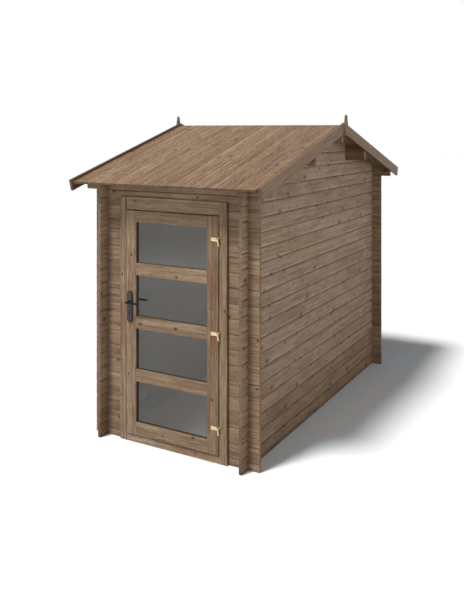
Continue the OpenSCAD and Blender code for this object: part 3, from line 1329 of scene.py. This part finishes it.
@dataclass
class DoorWood:
    """The door frame and the glazed leaf."""

    ease: float = 0.002
    rebate_shade_depth: float = 0.0105
    rebate_shade_width: float = 0.0025
    rebate_shade_gap: float = 0.0002
    rail_height: float = 0.097
    wood: Wood = Wood(
        "door_wood",
        Grain.ALONG_Z,
        light=(0.46, 0.345, 0.233),
        dark=(0.168, 0.108, 0.059),
        streak=1.75,
        fleck=1.2,
        patches=0.6,
        knot_spacing=0.3,
        knot_width=0.085,
        knot_size=0.0085,
    )
    # Painted shade: the dark brown of the strips that stand for the shade in the pane rebates.
    rebate_shade: Metal = Metal(
        "rebate_shade_brown",
        colour=(0.085, 0.060, 0.044),
        worn=(0.11, 0.08, 0.058),
        metallic=0.0,
        low=0.7,
        high=0.85,
        scale=30.0,
        gloss=0.1,
    )

    def build(self) -> list[bpy.types.Object]:
        """Dresses the frame, the leaf and its panes.

        Returns:
            The pieces made.
        """
        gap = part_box("door_stile_hinge")[1].x
        upright, level = Grain.ALONG_Z, Grain.ALONG_X
        # Painted light and shade: two shadow lines on the lock-side jamb, and a highlight on the
        # hinge-side jamb beside the gap.
        lock_side_shadows = ((-0.4335, 0.006, 0.4), (-0.475, 0.0035, 0.75))
        hinge_side_highlight = ((gap + 0.0145, 0.007, 1.12),)
        # Painted light on the highest middle rail and painted shade on the lowest.
        rails = {"lines": ((1.377, 0.2, 1.19), (0.5365, 0.2, 0.93)), "course": 0.42, "patches": 0.3}
        made = []
        # Painted light and shade: each piece's tone is set to how bright it shows lit, as on the
        # darker top rail under the eave and the lighter threshold; the threshold's line is a painted
        # shadow under the leaf, and the hinge stile's line lights its edge in the gap.
        for node, body, grain, seed, tone, more in (
            ("door_jamb_left", "shed", upright, 40.0, 0.97, {"lines": lock_side_shadows}),
            ("door_jamb_right", "shed", upright, 42.3, 1.04, {"lines": hinge_side_highlight}),
            ("door_head", "shed", level, 44.6, 1.04, {}),
            ("door_threshold", "shed", level, 46.9, 1.28, {"lines": ((0.056, 0.005, 0.6),)}),
            ("door_stile_lock", "door", upright, 60.0, 1.08, {}),
            ("door_stile_hinge", "door", upright, 135.3, 0.78, {"lines": ((gap, 0.001, 1.8),)}),
            ("door_rail_top", "door", level, 66.2, 0.84, {}),
            ("door_rails_middle", "door", level, 139.5, 0.895, rails),
            ("door_rail_bottom", "door", level, 72.4, 0.90, {}),
        ):
            wood = replace(self.wood, name=node + "_wood", grain=grain, seed=seed, tone=tone, **more)
            made.append(eased(node, self.ease, wood.build(), body))
        # Dark strips put where each pane's rebate lies in shade.
        made.append(finished("painted_rebate_shades", self.rebate_shades(), self.rebate_shade.build(), "door"))
        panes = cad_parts["door_glass"]
        panes.data.materials.clear()
        panes.data.materials.append(Glass().build())
        return made

    def rebate_shades(self) -> Shape:
        """Makes the dark strips that line the four lights in front of the glass and behind it,
        standing for the shade in each pane's rebate.

        Returns:
            The seals, in place.
        """
        mesh = bmesh.new()
        left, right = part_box("door_stile_lock")[1].x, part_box("door_stile_hinge")[0].x
        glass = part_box("door_glass")
        rails = (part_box("door_rail_bottom"), *self.middle_rails(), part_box("door_rail_top"))
        for below, above in zip(rails, rails[1:]):
            low, high = below[1].z, above[0].z
            for near, far in (
                (glass[0].y - self.rebate_shade_depth, glass[0].y - self.rebate_shade_gap),
                (glass[1].y + self.rebate_shade_gap, glass[1].y + self.rebate_shade_depth),
            ):
                centre = Vector(((left + right) / 2, (near + far) / 2, (low + high) / 2))
                size = (right - left - self.rebate_shade_gap, far - near, high - low - self.rebate_shade_gap)
                self.ring(mesh, centre, size)
        return mesh

    def middle_rails(self) -> list[tuple[Vector, Vector]]:
        """Gives each middle rail's lowest and highest corner, from the lowest rail up.

        Returns:
            The corners.
        """
        top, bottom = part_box("door_rail_top"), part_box("door_rail_bottom")
        low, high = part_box("door_rails_middle")
        pitch = (top[0].z - bottom[1].z + self.rail_height) / 4
        tall = self.rail_height
        starts = [bottom[1].z + pitch * number - tall for number in (1, 2, 3)]
        return [(Vector((low.x, low.y, z)), Vector((high.x, high.y, z + tall))) for z in starts]

    def ring(self, mesh: Shape, centre: Vector, size: Point) -> None:
        """Adds one square ring of the painted rebate shade, which stands upright and faces the front.

        Args:
            mesh: where it goes.
            centre: its middle.
            size: its outer size.
        """
        verts = bmesh.ops.create_grid(mesh, x_segments=1, y_segments=1, size=0.5)["verts"]
        bmesh.ops.scale(mesh, verts=verts, vec=(size[0], size[2], 1.0))
        bmesh.ops.rotate(mesh, verts=verts, matrix=Matrix.Rotation(QUARTER_TURN, 3, "X"))
        bmesh.ops.translate(mesh, verts=verts, vec=centre + Vector((0.0, size[1] / 2, 0.0)))
        face = verts[0].link_faces[0]
        inset = {"faces": [face], "thickness": self.rebate_shade_width, "use_boundary": True}
        strips = bmesh.ops.inset_region(mesh, **inset)["faces"]
        bmesh.ops.delete(mesh, geom=[face], context="FACES_ONLY")
        moved = points(bmesh.ops.extrude_face_region(mesh, geom=strips, use_keep_orig=True)["geom"])
        bmesh.ops.translate(mesh, verts=moved, vec=(0.0, -size[1], 0.0))
        near = dict.fromkeys([*faces_of(moved), *strips])
        bmesh.ops.recalc_face_normals(mesh, faces=list(near))


@dataclass
class Hinges:
    """The three hinges: plates on the leaf and bent hooks on the jamb."""

    barrel: float = 0.0065
    plate_height: float = 0.034
    plate_thick: float = 0.0025
    plate_corner: float = 0.003
    leaf_height: float = 0.0275
    knuckle: float = 0.014
    neck: float = 0.006
    pin: float = 0.0034
    hook: float = 0.0062
    arm: float = 0.0042
    strip_lap: float = 0.004
    strip_drop: float = 0.001
    strip_thin: float = 0.0004
    barrel_play: float = 0.0006
    pin_below: float = 0.001
    pin_longer: float = 0.003
    hook_gap: float = 0.0004
    screw: Screw = Screw(0.0036)
    screws_at: tuple[tuple[float, float], ...] = ((0.009, 0.0), (0.009, -0.0115), (0.030, -0.0055))
    brass: Metal = Metal("hinge_brass", (0.80, 0.655, 0.37), (0.66, 0.53, 0.27), scale=110.0)

    def build(self) -> list[bpy.types.Object]:
        """Makes the hinges.

        Returns:
            The pieces made.
        """
        brass = self.brass.build()
        leaves = finished("hinge_leaves", self.leaves(), brass, "door")
        hooks = finished("hinge_hooks", self.hooks(), brass, "shed")
        screws = finished("hinge_screws", self.screws(), brass, "door")
        return [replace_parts(leaves, "hinge_plates"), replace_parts(hooks, "hinge_brackets"), screws]

    def heights(self) -> tuple[float, float, float]:
        """Finds the hinge plates.

        Returns:
            The middle height of each, from the lowest up.
        """
        low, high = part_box("hinge_plates")
        first, last = low.z + self.plate_height / 2, high.z - self.plate_height / 2
        return first, (first + last) / 2, last

    def leaves(self) -> Shape:
        """Makes the plates on the hinge stile, each with a short knuckle at its lower corner.

        Returns:
            The plates, in place.
        """
        mesh = bmesh.new()
        low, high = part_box("hinge_plates")
        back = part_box("door_stile_hinge")[0].y
        axis = high.x - self.barrel
        neck = axis - self.barrel - self.neck
        for middle in self.heights():
            foot = middle - self.plate_height / 2
            top = foot + self.knuckle
            thinner = self.plate_thick - self.strip_thin
            for left, right, ceiling, thick in (
                (low.x, neck, foot + self.leaf_height, self.plate_thick),
                (neck - self.strip_lap, axis, top - self.strip_drop, thinner),
            ):
                size = Matrix.Diagonal((right - left, thick, ceiling - foot, 1.0))
                centre = ((left + right) / 2, back - thick / 2, (foot + ceiling) / 2)
                place = Matrix.Translation(centre) @ size
                verts = bmesh.ops.create_cube(mesh, size=1.0, matrix=place)["verts"]
                edges = dict.fromkeys(e for v in verts for e in v.link_edges)
                corners = [e for e in edges if abs((e.verts[1].co - e.verts[0].co).y) > 1e-4]
                rounded(mesh, corners, self.plate_corner, 3)
            place = Matrix.Translation((axis, low.y + self.barrel, (foot + top) / 2))
            pillar(mesh, place, self.barrel - self.barrel_play, self.knuckle, 24)
        bmesh.ops.recalc_face_normals(mesh, faces=mesh.faces)
        return mesh

    def hooks(self) -> Shape:
        """Makes the bent hooks on the jamb that carry the door's hinge plates.

        Returns:
            The hooks, in place.
        """
        mesh = bmesh.new()
        low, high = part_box("hinge_plates")
        axis = Vector((high.x - self.barrel, low.y + self.barrel, 0.0))
        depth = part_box("door_jamb_right")[0].y - axis.y
        up, right, back = Vector((0.0, 0.0, 1.0)), Vector((1.0, 0.0, 0.0)), Vector((0.0, 1.0, 0.0))
        lower = (
            Run(0.0005),
            Bend(0.008, 40.0, right),
            Bend(0.008, 40.0, -up),
            Run(0.009),
            Bend(0.011, 80.0, back + right * 0.6),
            Run(depth - 0.007),
        )
        upper = (
            Run(0.001),
            Bend(0.009, 50.0, right),
            Run(0.005),
            Bend(0.008, 75.0, back + right * 0.2),
            Run(depth - 0.004),
        )
        for middle in self.heights():
            foot = axis + up * (middle - self.plate_height / 2)
            top = foot + up * self.knuckle
            rod(mesh, foot - up * self.pin_below, up, self.pin, (Run(self.knuckle + self.pin_longer),))
            rod(mesh, foot - up * self.hook_gap, -up, self.hook, lower)
            rod(mesh, top + up * self.hook_gap, up, self.arm, upper)
        bmesh.ops.recalc_face_normals(mesh, faces=mesh.faces)
        return mesh

    def screws(self) -> Shape:
        """Sets three screws into each hinge plate.

        Returns:
            The screws, in place.
        """
        mesh = bmesh.new()
        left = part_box("hinge_plates")[0].x
        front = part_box("door_stile_hinge")[0].y - self.plate_thick
        for middle in self.heights():
            for along, up in self.screws_at:
                self.screw.add(mesh, Vector((left + along, front, middle + up)), -1.0)
        return mesh


@dataclass
class LockSet:
    """The long plates, the lever pair, the lock cylinder and the screws."""

    plate_ease: float = 0.0012
    lever_ease: float = 0.001
    rim: float = 0.01
    key_height: float = 1.0405
    core_radius: float = 0.0080
    core_sunk: float = 0.002
    slot_inset: float = 0.0022
    slot_share: float = 0.28
    slot_depth: float = 0.004
    screw: Screw = Screw(0.0042)
    screw_inset: float = 0.016
    dark: Metal = Metal(
        "lock_metal",
        colour=(0.030, 0.030, 0.034),
        worn=(0.052, 0.052, 0.057),
        metallic=0.0,
        low=0.35,
        high=0.55,
        scale=45.0,
        gloss=0.4,
    )
    black: Metal = Metal(
        "lever_metal",
        colour=(0.011, 0.008, 0.008),
        worn=(0.019, 0.014, 0.014),
        metallic=0.0,
        low=0.5,
        high=0.65,
        scale=30.0,
        gloss=0.12,
    )

    def build(self) -> list[bpy.types.Object]:
        """Dresses the lock.

        Returns:
            The pieces made.
        """
        # Painted shade along the plates' rounded outline.
        rim = {"rim": self.rim, "rim_of": "lock_plate_outer"}
        plate = replace(self.dark, name="lock_plate_metal", **rim).build()
        dark = self.dark.build()
        return [
            eased("lock_plate_outer", self.plate_ease, plate, "door"),
            eased("lock_plate_inner", self.plate_ease, plate, "door"),
            eased("lever_handle", self.lever_ease, self.black.build(), "lever"),
            finished("lock_cylinder", self.cylinder(), dark, "door"),
            finished("lock_screws", self.screws(), dark, "door"),
        ]

    def cylinder(self) -> Shape:
        """Makes the lock cylinder that fills the keyhole, with a key slot at each end.

        Returns:
            The cylinder, in place.
        """
        mesh = bmesh.new()
        outer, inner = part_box("lock_plate_outer"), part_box("lock_plate_inner")
        near, far = outer[0].y + self.core_sunk, inner[1].y - self.core_sunk
        middle = Vector(((outer[0].x + outer[1].x) / 2, (near + far) / 2, self.key_height))
        place = Matrix.Translation(middle) @ Matrix.Rotation(QUARTER_TURN, 4, "X")
        core = pillar(mesh, place, self.core_radius, far - near, 32)
        origin = Matrix.Translation((-middle.x, 0.0, -middle.z))
        for face in [face for face in faces_of(core) if len(face.verts) > 4]:
            way = 1.0 if face.calc_center_median().y > middle.y else -1.0
            bmesh.ops.inset_region(mesh, faces=[face], thickness=self.slot_inset)
            narrow = (self.slot_share, 1.0, 1.0)
            bmesh.ops.scale(mesh, verts=list(face.verts), vec=narrow, space=origin)
            bmesh.ops.inset_region(mesh, faces=[face], thickness=0.0002)
            bmesh.ops.translate(mesh, verts=list(face.verts), vec=(0.0, -way * self.slot_depth, 0.0))
        bmesh.ops.recalc_face_normals(mesh, faces=mesh.faces)
        return mesh

    def screws(self) -> Shape:
        """Sets two screws into each lock plate.

        Returns:
            The screws, in place.
        """
        mesh = bmesh.new()
        for node, way in (("lock_plate_outer", -1.0), ("lock_plate_inner", 1.0)):
            low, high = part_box(node)
            face = low.y if way < 0 else high.y
            for z in (low.z + self.screw_inset, high.z - self.screw_inset):
                self.screw.add(mesh, Vector(((low.x + high.x) / 2, face, z)), way)
        return mesh


@dataclass(frozen=True)
class Panel:
    """A soft rectangular lamp whose level is how brightly it lights its goal."""

    name: str
    level: float
    place: Point
    goal: Point
    size: tuple[float, float] = (6.0, 3.0)


@dataclass
class Studio:
    """The floor, the lamps, the white surround and the camera."""

    camera_place: Point = (3.1622, -6.0545, 2.4912)
    camera_turn: float = 29.544
    lens: float = 56.10
    sensor: float = 36.0
    rise: float = -0.3688
    farthest: float = 500.0
    sun_place: Point = (-6.0, -12.0, 20.0)
    sun_aim: Point = (0.19, 0.43, -1.0)
    sun_level: float = 0.87
    sun_angle: float = 0.195
    sky_low: float = 0.62
    sky_high: float = 0.10
    sky_top: float = 0.55
    floor_size: float = 60.0
    floor_drop: float = 0.0005
    panels: tuple[Panel, ...] = (
        Panel("side_fill", 0.265, (8.0, -2.6, 1.7), (0.6, -0.3, 1.2)),
        Panel("front_fill", 0.19, (-2.6, -9.0, 1.6), (0.0, -1.4, 1.2)),
        Panel("room", 1.04, (0.6, -0.1, 1.03), (-0.4, -0.1, 1.03), (2.4, 2.0)),
    )

    def build(self) -> None:
        """Sets up the whole studio."""
        self.camera()
        self.surround()
        self.floor()
        self.lamps()

    def camera(self) -> None:
        """Places the camera level, with the lens raised so that upright lines stay upright."""
        data = bpy.data.cameras.new("camera")
        data.sensor_fit = "HORIZONTAL"
        data.sensor_width = self.sensor
        data.lens = self.lens
        data.shift_y = self.rise
        data.clip_end = self.farthest
        camera = linked("camera", data)
        camera.location = self.camera_place
        camera.rotation_euler = (QUARTER_TURN, 0.0, math.radians(self.camera_turn))
        bpy.context.scene.camera = camera
        bpy.context.scene.view_settings.view_transform = "Standard"

    def surround(self) -> None:
        """Makes a world that is white to the eye and lights as a sky, brightest low down."""
        world = bpy.data.worlds.new("surround")
        world.use_nodes = True
        bpy.context.scene.world = world
        t = Tree(world.node_tree)
        seen = t.seen()
        _, _, up = t.split(t.node("TexCoord").outputs["Generated"])
        sky = t.ramp(up, 0.0, self.sky_top, self.sky_low, self.sky_high)
        level = t.plus(seen, t.times(t.minus(1.0, seen), sky))
        back = t.fill(t.node("Background"), Color=WHITE, Strength=level)
        t.fill(t.node("OutputWorld"), Surface=back.outputs[0])

    def floor(self) -> None:
        """Lays a wide white floor, with bare ground inside the shed."""
        mesh = bmesh.new()
        bmesh.ops.create_grid(mesh, x_segments=1, y_segments=1, size=self.floor_size)
        bmesh.ops.translate(mesh, verts=mesh.verts, vec=(0.0, 0.0, -self.floor_drop))
        floor = solid("floor", mesh, FloorWhite().build())

    def lamps(self) -> None:
        """Hangs the key lamp, two broad fills and a soft lamp inside."""
        sun = bpy.data.lights.new("key", "SUN")
        sun.energy = math.pi * self.sun_level
        sun.angle = self.sun_angle
        self.hang(sun, self.sun_place, Vector(self.sun_aim))
        for panel in self.panels:
            lamp = bpy.data.lights.new(panel.name, "AREA")
            lamp.shape = "RECTANGLE"
            lamp.size, lamp.size_y = panel.size
            aim = Vector(panel.goal) - Vector(panel.place)
            lamp.energy = panel.level * math.pi * math.pi * aim.length_squared
            self.hang(lamp, panel.place, aim)

    def hang(self, data: bpy.types.Light, place: Point, aim: Vector) -> None:
        """Hangs a lamp that lights but is not seen.

        Args:
            data: the lamp.
            place: where it hangs.
            aim: the way it shines.
        """
        lamp = linked(data.name, data)
        lamp.location = place
        lamp.rotation_euler = aim.to_track_quat("-Z", "Y").to_euler()
        lamp.visible_camera = False
        lamp.visible_glossy = False
        lamp.visible_transmission = False


def main() -> None:
    """Builds the studio and dresses the shed, piece by piece."""
    logging.basicConfig(level=logging.INFO, format="%(name)s: %(message)s")
    Studio().build()
    for work in (LogWalls(), Roof(), RakeTrim(), DoorWood(), Hinges(), LockSet()):
        for piece in work.build():
            log.info("%s: %d faces", piece.name, len(piece.data.polygons))


if __name__ == "__main__":
    main()
